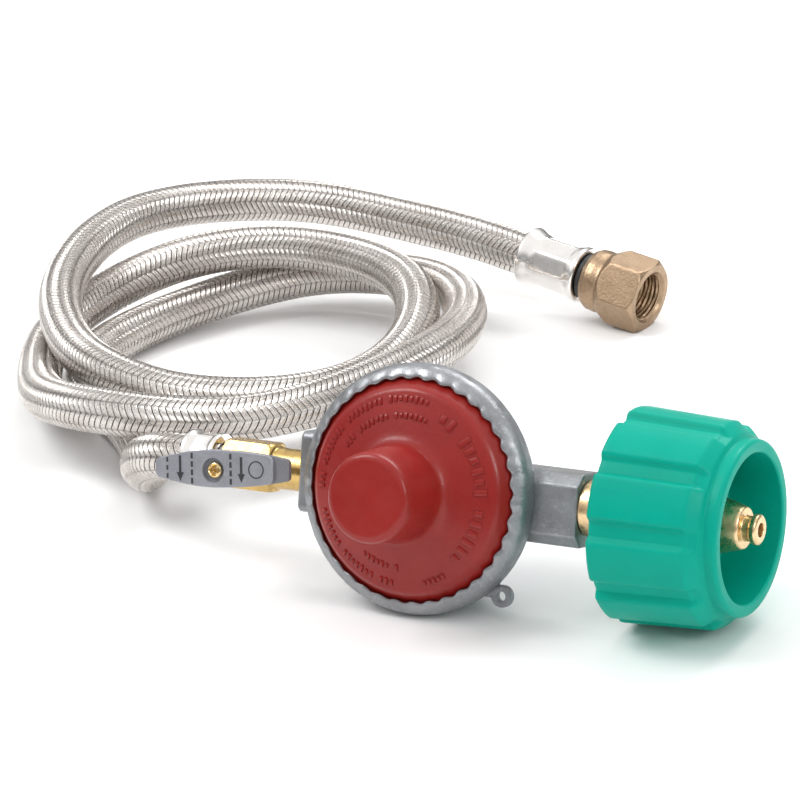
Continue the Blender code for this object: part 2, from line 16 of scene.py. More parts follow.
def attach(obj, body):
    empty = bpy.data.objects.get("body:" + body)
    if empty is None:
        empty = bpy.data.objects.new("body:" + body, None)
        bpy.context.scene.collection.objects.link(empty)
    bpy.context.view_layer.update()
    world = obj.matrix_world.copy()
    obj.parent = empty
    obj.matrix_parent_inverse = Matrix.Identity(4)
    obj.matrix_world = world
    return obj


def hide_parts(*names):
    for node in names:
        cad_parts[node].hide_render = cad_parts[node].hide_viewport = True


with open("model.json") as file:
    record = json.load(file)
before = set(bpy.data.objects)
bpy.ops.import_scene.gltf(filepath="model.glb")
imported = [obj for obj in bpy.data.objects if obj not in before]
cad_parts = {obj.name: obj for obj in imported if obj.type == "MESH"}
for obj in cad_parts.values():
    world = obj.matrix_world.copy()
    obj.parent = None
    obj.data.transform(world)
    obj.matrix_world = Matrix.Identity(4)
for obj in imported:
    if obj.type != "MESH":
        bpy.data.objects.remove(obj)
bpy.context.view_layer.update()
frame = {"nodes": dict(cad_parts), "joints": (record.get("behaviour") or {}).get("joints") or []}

MM = 0.001
JOINTS = {joint["name"]: joint for joint in frame["joints"]}

# --- frames ---------------------------------------------------------------------------------------
AXIS_N, AXIS_V = -13.0, -0.6          # inlet and outlet axis in the regulator's frame
PIVOT_X = -62.0                       # ball valve's stem
OUT = Vector(JOINTS["valve_lever_turn"]["axis"]).normalized()
ACROSS = Vector((0.0, OUT.z, -OUT.y))
SIDE = Vector((1.0, 0.0, 0.0))
RIM_CENTRE = Vector(JOINTS["valve_lever_turn"]["pos_m"]) - MM * (PIVOT_X * SIDE + AXIS_N * OUT
                                                                 + AXIS_V * ACROSS)
FAR_AXIS = Vector(JOINTS["flare_nut_turn"]["axis"]).normalized()
FAR_JOINT_X = 36.0                    # the nut's joint sits this far along the far fitting
FAR_MOUTH = Vector(JOINTS["flare_nut_turn"]["pos_m"]) - FAR_JOINT_X * MM * FAR_AXIS


def place(origin, along, up):
    """A matrix from a local frame, whose z runs along the piece and x points up, to the world, in metres."""
    z = along.normalized()
    x = (up - up.dot(z) * z).normalized()
    y = z.cross(x)
    made = Matrix((x, y, z)).transposed().to_4x4()
    made.translation = origin
    return made


def at(x, n, v):
    """A point of the regulator's frame, in the world, in metres."""
    return RIM_CENTRE + MM * (x * SIDE + n * OUT + v * ACROSS)


BONNET_PLACE = place(RIM_CENTRE, OUT, ACROSS)
AXIS_PLACE = place(at(0.0, AXIS_N, AXIS_V), SIDE, ACROSS)
FAR_PLACE = place(FAR_MOUTH, FAR_AXIS, Vector((0.0, 0.0, 1.0)))

# --- hose route -----------------------------------------------------------------------------------
# The centreline from the valve to the far ferrule, from the floor under the bonnet rim's centre.
ROUTE = [
    (-82.5, 12.2, 32.2), (-94, 14.2, 30.4), (-105, 21.5, 24.5), (-113.5, 33.5, 16), (-121, 47, 10),
    (-132, 62, 8), (-150, 80, 8), (-171, 98, 8),
    (-189, 123, 8), (-188, 157, 8), (-172, 186, 10), (-147, 202, 14), (-119, 205, 16), (-92, 195, 18),
    (-74, 175, 19), (-65, 147, 20), (-66, 116, 22), (-74, 87, 23), (-93, 61, 24), (-122, 49, 26),
    (-151, 54, 24), (-174, 72, 18), (-192, 97, 14), (-204, 125, 15), (-203, 154, 18), (-185, 179, 24),
    (-157, 192, 27), (-126, 193, 26), (-100, 182, 24), (-84, 160, 20), (-80, 131, 16), (-89, 104, 16),
    (-110, 86, 18), (-134, 79, 21), (-158, 84, 24), (-179, 99, 25), (-197, 121, 29), (-208, 152, 33),
    (-207, 185, 35), (-188, 213, 33), (-158, 228, 30), (-125, 230, 26), (-93, 227.2, 22.4),
    (-75.0, 225.0, 19.3)]
BRAID_STRANDS = 10                    # flat strands wound each way
BRAID_PITCH = 20.6                    # length of hose per turn of a strand
BRAID_R, BRAID_WAVE, STRAND_THICK = 7.1, 0.24, 0.22
STRAND_COVER = 0.84                   # strand width over the spacing of the strands
CORE_R = 6.85
STEPS_PER_TURN = 40
BRAID_WIRES = 6                       # wires seen across one strand
ROUTE_SAMPLES = 2400                  # points worked out along the centreline
PATH_STEP = 4                         # the core and the cord's path take every fourth of them
CORE_SIDES = 24


def route_points(count):
    """Points along the smooth curve through ROUTE: a cubic spline on chord length, clamped to leave along
    -x and to end along the far fitting. The unknowns are its second derivatives."""
    knots = np.array(ROUTE, float)
    spans = np.linalg.norm(np.diff(knots, axis=0), axis=1)
    slopes = np.diff(knots, axis=0) / spans[:, None]
    slopes = np.vstack(([-1.0, 0.0, 0.0], slopes, list(FAR_AXIS)))
    system = np.zeros((len(knots), len(knots)))
    for index, span in enumerate(spans):
        system[index, index:index + 2] += 2 * span, span
        system[index + 1, index:index + 2] += span, 2 * span
    bend = np.linalg.solve(system, 6 * np.diff(slopes, axis=0))
    where = np.concatenate(([0.0], np.cumsum(spans)))
    spots = np.linspace(0.0, where[-1], count)
    index = np.clip(np.searchsorted(where, spots, side="right") - 1, 0, len(spans) - 1)
    span = spans[index][:, None]
    ahead, behind = (where[index + 1] - spots)[:, None], (spots - where[index])[:, None]
    points = ((bend[index] * ahead ** 3 + bend[index + 1] * behind ** 3) / (6 * span)
              + (knots[index] / span - bend[index] * span / 6) * ahead
              + (knots[index + 1] / span - bend[index + 1] * span / 6) * behind)
    return points * MM + np.array((RIM_CENTRE.x, RIM_CENTRE.y, 0.0))


# --- camera, floor and light ----------------------------------------------------------------------
VIEW_ELEVATION, VIEW_AZIMUTH, VIEW_ROLL = radians(22.0), radians(29.8), radians(-5.3)
VIEW_DISTANCE = 1.3                   # metres from the bonnet's rim
LENS, SENSOR = 201.8, 36.0
RIM_RIGHT, RIM_BELOW = 0.00377, 0.02603   # where the bonnet's rim centre lies from the middle of the view


# The studio dome, by height: its colour on the horizon, then (height, grey).
HORIZON_COLOUR = (0.22, 0.21, 0.20)
DOME_GREYS = ((0.10, 0.20), (0.35, 0.45), (0.6, 0.95))
# Area lamps in metres: (name, position, aimed at, size, watts).
LAMPS = (("key", (-0.75, -0.25, 1.1), (-0.05, 0.08, 0.0), (0.6, 0.6), 8.0),
         ("side", (1.2, -0.35, 0.75), (0.0, 0.02, 0.03), (0.35, 0.5), 5.0),
         ("back", (0.1, 1.0, 1.1), (-0.05, 0.1, 0.0), (1.0, 0.4), 9.0))
FLOOR_HALF = 6.0


def make_camera():
    back = Vector((sin(VIEW_AZIMUTH) * cos(VIEW_ELEVATION), -cos(VIEW_AZIMUTH) * cos(VIEW_ELEVATION),
                   sin(VIEW_ELEVATION)))
    level = Vector((cos(VIEW_AZIMUTH), sin(VIEW_AZIMUTH), 0.0))
    upright = back.cross(level)
    right = level * cos(VIEW_ROLL) + upright * sin(VIEW_ROLL)
    up = back.cross(right)
    data = bpy.data.cameras.new("camera")
    data.lens = LENS
    data.sensor_width = SENSOR
    data.clip_start, data.clip_end = 0.05, 20.0
    camera = bpy.data.objects.new("camera", data)
    bpy.context.scene.collection.objects.link(camera)
    turn = Matrix((right, up, back)).transposed().to_4x4()
    turn.translation = RIM_CENTRE + back * VIEW_DISTANCE - right * RIM_RIGHT + up * RIM_BELOW
    camera.matrix_world = turn
    bpy.context.scene.camera = camera


def add_area(name, position, target, size, energy):
    data = bpy.data.lights.new(name, "AREA")
    data.shape = "RECTANGLE"
    data.size, data.size_y = size
    data.energy = energy
    lamp = bpy.data.objects.new(name, data)
    lamp.location = position
    lamp.rotation_euler = (Vector(position) - Vector(target)).to_track_quat("Z", "Y").to_euler()
    bpy.context.scene.collection.objects.link(lamp)


def make_world():
    """A studio dome: bright overhead, greyer towards the horizon, so that metal has something to reflect."""
    world = bpy.data.worlds.new("studio")
    bpy.context.scene.world = world
    world.use_nodes = True
    nodes, links = world.node_tree.nodes, world.node_tree.links
    place_node = nodes.new("ShaderNodeTexCoord")
    split = nodes.new("ShaderNodeSeparateXYZ")
    ramp = nodes.new("ShaderNodeValToRGB")
    links.new(place_node.outputs["Generated"], split.inputs[0])
    links.new(split.outputs["Z"], ramp.inputs[0])
    ramp.color_ramp.elements[0].position = 0.0
    ramp.color_ramp.elements[0].color = (*HORIZON_COLOUR, 1.0)
    ramp.color_ramp.elements[1].position = 1.0
    ramp.color_ramp.elements[1].color = (1.0, 1.0, 1.0, 1.0)
    for position, grey in DOME_GREYS:
        stop = ramp.color_ramp.elements.new(position)
        stop.color = (grey, grey, grey, 1.0)
    background = nodes["Background"]
    links.new(ramp.outputs[0], background.inputs["Color"])
    background.inputs["Strength"].default_value = 1.0


def make_stage():
    bpy.context.scene.view_settings.view_transform = "Standard"
    mesh = bpy.data.meshes.new("floor")
    shape = bmesh.new()
    bmesh.ops.create_grid(shape, x_segments=1, y_segments=1, size=FLOOR_HALF)
    shape.to_mesh(mesh)
    shape.free()
    floor = bpy.data.objects.new("floor", mesh)
    bpy.context.scene.collection.objects.link(floor)
    paper = bpy.data.materials.new("floor_paper")
    paper.use_nodes = True
    shader = paper.node_tree.nodes["Principled BSDF"]
    shader.inputs["Base Color"].default_value = (0.93, 0.93, 0.93, 1.0)
    shader.inputs["Roughness"].default_value = 0.9
    shader.inputs["Specular IOR Level"].default_value = 0.1
    mesh.materials.append(paper)
    for lamp in LAMPS:
        add_area(*lamp)
    make_world()


# --- materials ------------------------------------------------------------------------------------
class Surface:
    """A procedural material, put together from small layers."""

    def __init__(self, name, base, roughness, metallic=0.0, coat=0.0, level=0.5):
        self.made = bpy.data.materials.new(name)
        self.made.use_nodes = True
        self.nodes, self.links = self.made.node_tree.nodes, self.made.node_tree.links
        self.shader = self.nodes["Principled BSDF"]
        self.shader.inputs["Base Color"].default_value = (*base, 1.0)
        self.shader.inputs["Roughness"].default_value = roughness
        self.shader.inputs["Metallic"].default_value = metallic
        self.shader.inputs["Coat Weight"].default_value = coat
        self.shader.inputs["Coat Roughness"].default_value = 0.12
        self.shader.inputs["Specular IOR Level"].default_value = level
        self.base, self.roughness = base, roughness
        self.position = self.nodes.new("ShaderNodeTexCoord").outputs["Object"]
        self.colour = None
        self.normal = None

    def link(self, start, end):
        self.links.new(start, end)

    def noise(self, scale, detail=3.0, source=None, stretch=None):
        """Noise from 0 to 1; scale is per metre."""
        node = self.nodes.new("ShaderNodeTexNoise")
        node.inputs["Scale"].default_value = scale
        node.inputs["Detail"].default_value = detail
        where = self.position if source is None else source
        if stretch is not None:
            mapping = self.nodes.new("ShaderNodeMapping")
            mapping.inputs["Scale"].default_value = stretch
            self.link(where, mapping.inputs["Vector"])
            where = mapping.outputs["Vector"]
        self.link(where, node.inputs["Vector"])
        return node.outputs["Fac"]

    def spread(self, value, low, high, start=0.35, end=0.65):
        """Maps a value's middle range to low..high."""
        node = self.nodes.new("ShaderNodeMapRange")
        node.inputs["From Min"].default_value = start
        node.inputs["From Max"].default_value = end
        node.inputs["To Min"].default_value = low
        node.inputs["To Max"].default_value = high
        self.link(value, node.inputs["Value"])
        return node.outputs["Result"]

    def tint(self, value, other, share=1.0, start=0.35, end=0.65):
        """Moves the colour towards another where the value is high."""
        node = self.nodes.new("ShaderNodeMix")
        node.data_type = "RGBA"
        if self.colour is None:
            node.inputs["A"].default_value = (*self.base, 1.0)
        else:
            self.link(self.colour, node.inputs["A"])
        node.inputs["B"].default_value = (*other, 1.0)
        self.link(self.spread(value, 0.0, share, start, end), node.inputs["Factor"])
        self.colour = node.outputs["Result"]
        self.link(self.colour, self.shader.inputs["Base Color"])
        return self

    def vary_roughness(self, value, amount):
        self.link(self.spread(value, self.roughness - amount, self.roughness + amount),
                  self.shader.inputs["Roughness"])
        return self

    def bump(self, value, height, strength=1.0):
        """Raises the surface by height, in metres, where the value is 1."""
        node = self.nodes.new("ShaderNodeBump")
        node.inputs["Strength"].default_value = strength
        node.inputs["Distance"].default_value = height
        self.link(value, node.inputs["Height"])
        if self.normal is not None:
            self.link(self.normal, node.inputs["Normal"])
        self.normal = node.outputs["Normal"]
        self.link(self.normal, self.shader.inputs["Normal"])
        return self

    def along(self, axis):
        """Distance along an axis, as a vector for ring-shaped marks."""
        dot = self.nodes.new("ShaderNodeVectorMath")
        dot.operation = "DOT_PRODUCT"
        dot.inputs[1].default_value = axis
        self.link(self.position, dot.inputs[0])
        join = self.nodes.new("ShaderNodeCombineXYZ")
        self.link(dot.outputs["Value"], join.inputs["X"])
        return join.outputs["Vector"]


def zinc_casting(name, base=(0.33, 0.34, 0.355), roughness=0.4):
    made = Surface(name, base, roughness, metallic=0.72)
    made.tint(made.noise(90.0, 5.0), tuple(0.72 * channel for channel in base), 0.8)
    made.tint(made.noise(900.0, 2.0), tuple(1.35 * channel for channel in base), 0.5, 0.55, 0.75)
    made.vary_roughness(made.noise(260.0, 4.0), 0.1)
    made.bump(made.noise(420.0, 3.0), 0.00016)
    made.bump(made.noise(2600.0, 2.0), 0.00006)
    return made.made


def red_paint(name):
    made = Surface(name, (0.29, 0.015, 0.011), 0.34, coat=0.1, level=0.35)
    made.tint(made.noise(60.0, 4.0), (0.24, 0.011, 0.009), 0.7)
    made.tint(made.noise(1500.0, 2.0), (0.34, 0.025, 0.02), 0.35, 0.58, 0.78)
    made.vary_roughness(made.noise(150.0, 3.0), 0.06)
    made.bump(made.noise(700.0, 2.0), 0.00006)
    made.bump(made.noise(3000.0, 1.0), 0.00002)
    return made.made


def brass(name, axis, base=(0.78, 0.53, 0.22), roughness=0.22):
    """Turned brass: fine rings round the axis, and faint blotches."""
    made = Surface(name, base, roughness, metallic=1.0)
    made.tint(made.noise(220.0, 4.0), tuple(0.72 * channel for channel in base), 0.5)
    made.vary_roughness(made.noise(500.0, 3.0), 0.07)
    made.bump(made.noise(5200.0, 2.0, made.along(axis)), 0.00003)
    made.bump(made.noise(1800.0, 2.0), 0.00001)
    return made.made


def forged_brass(name, axis):
    """The dull, grainy brass of a forged nut."""
    made = Surface(name, (0.43, 0.305, 0.20), 0.38, metallic=1.0)
    made.tint(made.noise(160.0, 4.0), (0.33, 0.225, 0.14), 0.6)
    made.tint(made.noise(2200.0, 2.0), (0.58, 0.43, 0.29), 0.6, 0.55, 0.7)
    made.vary_roughness(made.noise(600.0, 3.0), 0.09)
    made.bump(made.noise(1500.0, 3.0), 0.00009)
    made.bump(made.noise(4200.0, 2.0, made.along(axis)), 0.00002)
    return made.made


def bright_steel(name, axis, base=(0.95, 0.92, 0.89), roughness=0.16):
    made = Surface(name, base, roughness, metallic=1.0)
    made.tint(made.noise(180.0, 4.0), (0.82, 0.79, 0.76), 0.5)
    made.vary_roughness(made.noise(400.0, 3.0), 0.04)
    made.bump(made.noise(4000.0, 2.0, made.along(axis)), 0.00001)
    made.bump(made.noise(240.0, 2.0), 0.00006)
    return made.made


def plain_steel(name):
    made = Surface(name, (0.55, 0.55, 0.55), 0.3, metallic=1.0)
    made.tint(made.noise(300.0, 3.0), (0.4, 0.39, 0.38), 0.6)
    made.vary_roughness(made.noise(700.0, 3.0), 0.08)
    made.bump(made.noise(2500.0, 2.0), 0.00002)
    return made.made


def green_plastic(name):
    made = Surface(name, (0.0, 0.34, 0.25), 0.4, level=0.12)
    made.tint(made.noise(45.0, 3.0), (0.0, 0.375, 0.275), 0.7)
    made.tint(made.noise(1300.0, 2.0), (0.0, 0.31, 0.23), 0.3, 0.5, 0.75)
    made.vary_roughness(made.noise(120.0, 4.0), 0.07)
    made.bump(made.noise(500.0, 3.0, stretch=(0.15, 1.0, 1.0)), 0.00007)
    made.bump(made.noise(2800.0, 2.0), 0.00002)
    return made.made


def dark_rubber(name, base=(0.018, 0.018, 0.018), roughness=0.5):
    made = Surface(name, base, roughness)
    made.tint(made.noise(400.0, 3.0), tuple(1.9 * channel for channel in base), 0.8)
    made.vary_roughness(made.noise(900.0, 3.0), 0.1)
    made.bump(made.noise(2200.0, 2.0), 0.00003)
    return made.made


def lever_metal(name, base=(0.33, 0.335, 0.37), roughness=0.42):
    made = Surface(name, base, roughness, metallic=0.45)
    made.tint(made.noise(120.0, 4.0), tuple(0.8 * channel for channel in base), 0.7)
    made.tint(made.noise(1700.0, 2.0), tuple(1.3 * channel for channel in base), 0.5, 0.55, 0.75)
    made.vary_roughness(made.noise(500.0, 3.0), 0.08)
    made.bump(made.noise(900.0, 3.0), 0.00006)
    return made.made


def braid_steel(name):
    """Flat strands of parallel wires; u runs across the strand and v is 0 where it dips and 1 on top."""
    made = Surface(name, (0.88, 0.83, 0.79), 0.27, metallic=1.0)
    across = made.nodes.new("ShaderNodeSeparateXYZ")
    uv = made.nodes.new("ShaderNodeUVMap")
    uv.uv_map = "strand"
    made.link(uv.outputs["UV"], across.inputs[0])
    count = made.nodes.new("ShaderNodeMath")
    count.operation = "MULTIPLY"
    count.inputs[1].default_value = BRAID_WIRES
    made.link(across.outputs["X"], count.inputs[0])
    part = made.nodes.new("ShaderNodeMath")
    part.operation = "PINGPONG"
    part.inputs[1].default_value = 0.5
    made.link(count.outputs[0], part.inputs[0])
    made.tint(made.noise(70.0, 4.0), (0.64, 0.58, 0.53), 0.6)
    # Painted shade: the colour darkens in the gaps between the wires, where shade falls.
    groove = made.nodes.new("ShaderNodeMath")
    groove.operation = "SUBTRACT"
    groove.inputs[0].default_value = 0.5
    made.link(part.outputs[0], groove.inputs[1])
    made.tint(groove.outputs[0], (0.24, 0.22, 0.205), 0.7, 0.3, 0.5)
    # Painted shade: the colour goes nearly black where a strand dips under the other set (v low), where shade
    # falls.
    dip_shade = made.nodes.new("ShaderNodeMath")
    dip_shade.operation = "SUBTRACT"
    dip_shade.inputs[0].default_value = 1.0
    made.link(across.outputs["Y"], dip_shade.inputs[1])
    made.tint(dip_shade.outputs[0], (0.03, 0.026, 0.023), 0.95, 0.25, 0.95)
    made.vary_roughness(made.noise(2500.0, 2.0), 0.07)
    made.bump(part.outputs[0], 0.00022, 0.8)
    return made.made


# --- mesh tools -----------------------------------------------------------------------------------
def add_piece(name, points, faces, material, body, stands_for=(), sharp=32.0):
    """A mesh piece in the world frame, shaded smooth with sharp edges kept, riding on a body."""
    mesh = bpy.data.meshes.new(name)
    mesh.from_pydata([tuple(point) for point in points], [], faces)
    mesh.validate()
    return finish_mesh(name, mesh, material, body, stands_for, sharp)


def finish_mesh(name, mesh, material, body, stands_for=(), sharp=32.0):
    shape = bmesh.new()
    shape.from_mesh(mesh)
    bmesh.ops.recalc_face_normals(shape, faces=shape.faces)
    shape.to_mesh(mesh)
    shape.free()
    mesh.shade_smooth()
    mesh.set_sharp_from_angle(angle=radians(sharp))
    mesh.materials.append(material)
    made = bpy.data.objects.new(name, mesh)
    bpy.context.scene.collection.objects.link(made)
    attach(made, body)
    for node in stands_for:
        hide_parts(node)
    return made


def rounded(points, radius, closed=False, segments=3, sharp_below=None):
    """The same polyline with its corners rounded off, but for those at or below sharp_below in x."""
    points = [Vector(point) for point in points]
    made = []
    last = len(points) - 1
    for index, point in enumerate(points):
        at_axis = sharp_below is not None and point.x <= sharp_below
        if at_axis or (not closed and index in (0, last)):
            made.append(point)
            continue
        before, after = points[index - 1] - point, points[(index + 1) % len(points)] - point
        reach = min(radius, 0.45 * before.length, 0.45 * after.length)
        start, end = point + before.normalized() * reach, point + after.normalized() * reach
        for step in range(segments + 1):
            share = step / segments
            made.append((1 - share) ** 2 * start + 2 * share * (1 - share) * point + share ** 2 * end)
    return [tuple(point) for point in made]


def turned(name, profile, material, body, matrix, steps=128, soft=0.3, shape=None, stands_for=(),
           sharp=32.0, fine=None):
    """A closed (radius, height) profile turned round z. shape(radius, height, angle) may change the radius;
    fine is the longest stretch of profile between two rings."""
    ring = rounded(profile, soft, closed=True, sharp_below=AXLE) if soft else list(profile)
    if fine:
        ring = subdivided(ring, fine)
    profile_r = np.array([point[0] for point in ring])
    profile_z = np.array([point[1] for point in ring])
    angles = np.arange(steps) * 2 * pi / steps
    radius = np.repeat(profile_r[None, :], steps, axis=0)
    height = np.repeat(profile_z[None, :], steps, axis=0)
    if shape is not None:
        radius, height = shape(radius, height, angles[:, None])
    radius = np.maximum(radius, 0.0)
    points = np.stack([radius * np.cos(angles)[:, None], radius * np.sin(angles)[:, None], height], axis=2)
    points = points.reshape(-1, 3) * MM
    count = len(ring)
    faces = []
    for step in range(steps):
        following = (step + 1) % steps
        for index in range(count):
            nearby = (index + 1) % count
            faces.append((step * count + index, step * count + nearby,
                          following * count + nearby, following * count + index))
    world = np.array(matrix)
    points = points @ world[:3, :3].T + world[:3, 3]
    return add_piece(name, points, faces, material, body, stands_for, sharp)


def subdivided(ring, longest):
    """A closed polyline with more points, so that no stretch is longer than the given length."""
    made = []
    for first, second in zip(ring, ring[1:] + ring[:1]):
        gap = (Vector(second) - Vector(first)).length
        parts = max(1, int(np.ceil(gap / longest)))
        for part in range(parts):
            made.append(tuple(Vector(first).lerp(Vector(second), part / parts)))
    return made


AXLE = 0.02                            # inner radius of pieces that are solid to their axis


def polygon_limit(radius, angle, apothem, sides, spin=0.0, sharpness=90.0):
    """The smaller of a radius and a regular polygon's, with rounded corners between them."""
    total = (1.0 / np.maximum(radius, 0.01)) ** sharpness
    for side in range(sides):
        facing = np.maximum(np.cos(angle - spin - 2 * pi * side / sides), 0.0)
        total = total + (facing / apothem) ** sharpness
    return total ** (-1.0 / sharpness)


def block(name, low, high, chamfer, soft, material, body, stands_for=()):
    """A box between two corners given as (x, n, v); its long edges are cut, then every edge is softened."""
    low, high = Vector(low), Vector(high)
    shape = bmesh.new()
    bmesh.ops.create_cube(shape, size=1.0, matrix=Matrix.LocRotScale((low + high) / 2, None, high - low))
    if chamfer:
        lengthwise = [edge for edge in shape.edges
                      if abs((edge.verts[0].co - edge.verts[1].co).normalized().x) > 0.9]
        bmesh.ops.bevel(shape, geom=lengthwise, offset=chamfer, segments=1, affect="EDGES")
    bmesh.ops.bevel(shape, geom=shape.edges[:], offset=soft, segments=3, profile=0.6, affect="EDGES")
    for vertex in shape.verts:
        vertex.co = at(*vertex.co)
    mesh = bpy.data.meshes.new(name)
    shape.to_mesh(mesh)
    shape.free()
    return finish_mesh(name, mesh, material, body, stands_for, 40.0)


def plate(name, outline, low, high, soft, material, body, matrix, stands_for=(), holes=()):
    """A flat outline given thickness from low to high along z, with softened rims. holes are (x, y, radius,
    floor): round recesses down to that floor, or right through."""
    shape = bmesh.new()
    bottom = [shape.verts.new((x, y, low)) for x, y in outline]
    top = [shape.verts.new((x, y, high)) for x, y in outline]
    shape.faces.new(list(reversed(bottom)))
    shape.faces.new(top)
    for index in range(len(outline)):
        following = (index + 1) % len(outline)
        shape.faces.new((bottom[index], bottom[following], top[following], top[index]))
    bmesh.ops.recalc_face_normals(shape, faces=shape.faces)
    rims = [edge for edge in shape.edges if abs(edge.verts[0].co.z - edge.verts[1].co.z) < 1e-6]
    bmesh.ops.bevel(shape, geom=rims, offset=soft, segments=3, profile=0.6, affect="EDGES")
    mesh = bpy.data.meshes.new(name)
    shape.to_mesh(mesh)
    shape.free()
    if holes:
        mesh = bored(mesh, holes, high)
    mesh.transform(Matrix.Scale(MM, 4))
    mesh.transform(matrix)
    return finish_mesh(name, mesh, material, body, stands_for, 35.0)


def bored(mesh, holes, top):
    """The mesh with round recesses cut into it from above."""
    body = bpy.data.objects.new("bored", mesh)
    bpy.context.scene.collection.objects.link(body)
    cutters = []
    for x, y, radius, floor in holes:
        shape = bmesh.new()
        bmesh.ops.create_cone(shape, cap_ends=True, segments=64, radius1=radius, radius2=radius,
                              depth=top + 1 - floor, matrix=Matrix.Translation((x, y, (top + 1 + floor) / 2)))
        cutter_mesh = bpy.data.meshes.new("cutter")
        shape.to_mesh(cutter_mesh)
        shape.free()
        cutter = bpy.data.objects.new("cutter", cutter_mesh)
        bpy.context.scene.collection.objects.link(cutter)
        step = body.modifiers.new("hole", "BOOLEAN")
        step.operation = "DIFFERENCE"
        step.object = cutter
        cutters.append(cutter)
    bpy.context.view_layer.update()
    made = bpy.data.meshes.new_from_object(body.evaluated_get(bpy.context.evaluated_depsgraph_get()))
    for spare in cutters + [body]:
        bpy.data.objects.remove(spare, do_unlink=True)
    return made


# --- hose -----------------------------------------------------------------------------------------
def hose_frames(count):
    """The centreline, with two crosswise directions that don't twist along it."""
    points = route_points(count)
    tangents = np.gradient(points, axis=0)
    tangents /= np.linalg.norm(tangents, axis=1)[:, None]
    first = np.zeros_like(points)
    direction = np.array((0.0, 0.0, 1.0))
    for index in range(count):
        direction = direction - tangents[index] * direction.dot(tangents[index])
        direction /= np.linalg.norm(direction)
        first[index] = direction
    return points, first, np.cross(tangents, first)


def make_braid(name, sign, frames, material, body):
    """One set of strands. Each is a flat ribbon wound round the hose that dips under the other set in every
    second column round the hose, so the braid shows a herringbone."""
    points, first, second = frames
    lengths = np.concatenate(([0.0], np.cumsum(np.linalg.norm(np.diff(points, axis=0), axis=1)))) / MM
    total = lengths[-1]
    steps = int(total / BRAID_PITCH * STEPS_PER_TURN)
    along = np.linspace(0.0, total, steps + 1)
    lean = np.arctan2(2 * pi * BRAID_R, BRAID_PITCH)
    half = 0.5 * STRAND_COVER * BRAID_PITCH / BRAID_STRANDS * sin(lean)
    section = [(-1.0, 0.0), (-0.45, 0.06), (0.45, 0.06), (1.0, 0.0)]
    ring = [(across, lift) for across, lift in section] + [(1.0, -STRAND_THICK), (-1.0, -STRAND_THICK)]
    size = len(ring)
    every, faces = [], []
    rise = np.zeros((BRAID_STRANDS, steps + 1, size))
    for strand in range(BRAID_STRANDS):
        base = strand * (steps + 1) * size
        turn = sign * 2 * pi * along / BRAID_PITCH + 2 * pi * (strand + 0.25 * sign) / BRAID_STRANDS
        block_points = np.zeros((steps + 1, size, 3))
        for place_in_ring, (across, lift) in enumerate(ring):
            offset = across * half
            angle = turn - sign * cos(lean) * offset / BRAID_R
            spot = np.clip(along + sin(lean) * offset, 0.0, total)
            centre = np.stack([np.interp(spot, lengths, points[:, axis]) for axis in range(3)], axis=1)
            one = np.stack([np.interp(spot, lengths, first[:, axis]) for axis in range(3)], axis=1)
            two = np.stack([np.interp(spot, lengths, second[:, axis]) for axis in range(3)], axis=1)
            wave = np.clip(1.5 * np.sin(BRAID_STRANDS / 2 * angle), -1.0, 1.0)
            radius = (BRAID_R + sign * BRAID_WAVE * wave + lift) * MM
            # The weave's height here becomes v, which the braid material turns into painted shade in the
            # dips.
            rise[strand, :, place_in_ring] = 0.5 + 0.5 * sign * wave
            outward = one * np.cos(angle)[:, None] + two * np.sin(angle)[:, None]
            block_points[:, place_in_ring] = centre + outward * radius[:, None]
        every.append(block_points.reshape(-1, 3))
        for step in range(steps):
            here, there = base + step * size, base + (step + 1) * size
            for index in (0, 1, 2, 4):
                following = (index + 1) % size
                faces.append((here + index, here + following, there + following, there + index))
    mesh = bpy.data.meshes.new(name)
    mesh.from_pydata(np.concatenate(every).tolist(), [], faces)
    widths = np.array([(across + 1) / 2 for across, lift in ring])
    loops = np.zeros(len(mesh.loops), np.int32)
    mesh.loops.foreach_get("vertex_index", loops)
    uv = mesh.uv_layers.new(name="strand")
    spots = np.stack([widths[loops % size], rise.ravel()[loops]], axis=1)
    uv.data.foreach_set("uv", spots.astype(np.float32).ravel())
    mesh.shade_smooth()
    mesh.set_sharp_from_angle(angle=radians(50.0))
    mesh.materials.append(material)
    made = bpy.data.objects.new(name, mesh)
    bpy.context.scene.collection.objects.link(made)
    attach(made, body)
    return made


def make_core(frames, material):
    """The dark tube under the braid, closed at both ends."""
    points, first, second = frames
    sides = CORE_SIDES
    chosen = list(range(0, len(points), PATH_STEP))
    if chosen[-1] != len(points) - 1:
        chosen.append(len(points) - 1)
    made, faces = [], []
    for row, index in enumerate(chosen):
        for side in range(sides):
            angle = 2 * pi * side / sides
            outward = first[index] * cos(angle) + second[index] * sin(angle)
            made.append(points[index] + CORE_R * MM * outward)
        if row:
            for side in range(sides):
                following = (side + 1) % sides
                low, high = (row - 1) * sides, row * sides
                faces.append((low + side, low + following, high + following, high + side))
    last = (len(chosen) - 1) * sides
    faces.append(tuple(range(sides)))
    faces.append(tuple(last + side for side in range(sides)))
    return add_piece("hose_core", made, faces, material, "regulator", ("hose_tube",), 50.0)


CRIMP_SIDES, CRIMP_SHARE = 8, 0.965      # flats, and their apothem over the ferrule's radius
CRIMP_RUN_OUT = 1.6
FERRULE_BORE = 7.2                     # every radius of a ferrule's inside is below this


def crimped(start, end, spin):
    """A shape function that presses flats into the stretch from start to end."""
    def shape(radius, height, angle):
        blend = (np.clip((height - start) / CRIMP_RUN_OUT, 0.0, 1.0)
                 * np.clip((end - height) / CRIMP_RUN_OUT, 0.0, 1.0))
        blend = blend * blend * (3 - 2 * blend)
        apothem = np.maximum(radius, 0.01) * CRIMP_SHARE
        flat = polygon_limit(radius * 1.04, angle, apothem, CRIMP_SIDES, spin, 60.0)
        outer = radius > FERRULE_BORE
        return np.where(outer, radius * (1 - blend) + flat * blend, radius), height
    return shape


